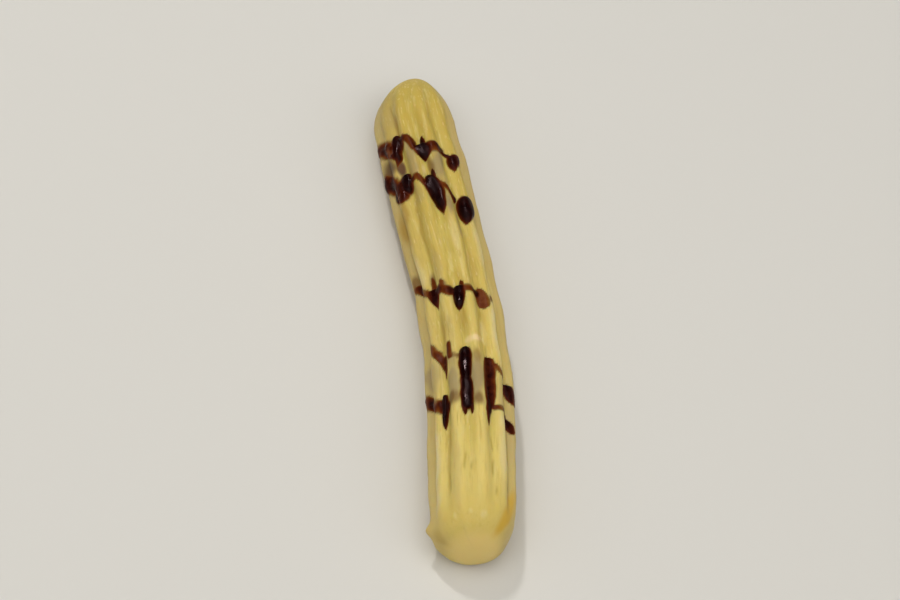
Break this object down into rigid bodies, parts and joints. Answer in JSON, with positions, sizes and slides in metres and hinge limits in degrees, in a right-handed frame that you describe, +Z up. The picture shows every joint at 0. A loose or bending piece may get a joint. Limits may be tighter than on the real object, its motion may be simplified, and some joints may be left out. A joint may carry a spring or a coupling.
{
  "type": "churro",
  "caption": "Short fried churro with star-nozzle ridges along it, slightly bowed, one end cut flat and the other domed, with dark chocolate sauce drizzled across and pooled in the grooves.",
  "frame": {"origin": "bottom centre of the bounding box, on the surface that the churro lies on", "axes": "+Y along the churro from the flat cut end to the domed end, +Z up, +X towards the outside of its slight bow"},
  "size_m": [0.0216, 0.1188, 0.0169],
  "materials": {
    "dough": "satin",
    "chocolate": "gloss"
  },
  "bodies": {
    "root": {"churro": "dough"}
  },
  "joints": []
}
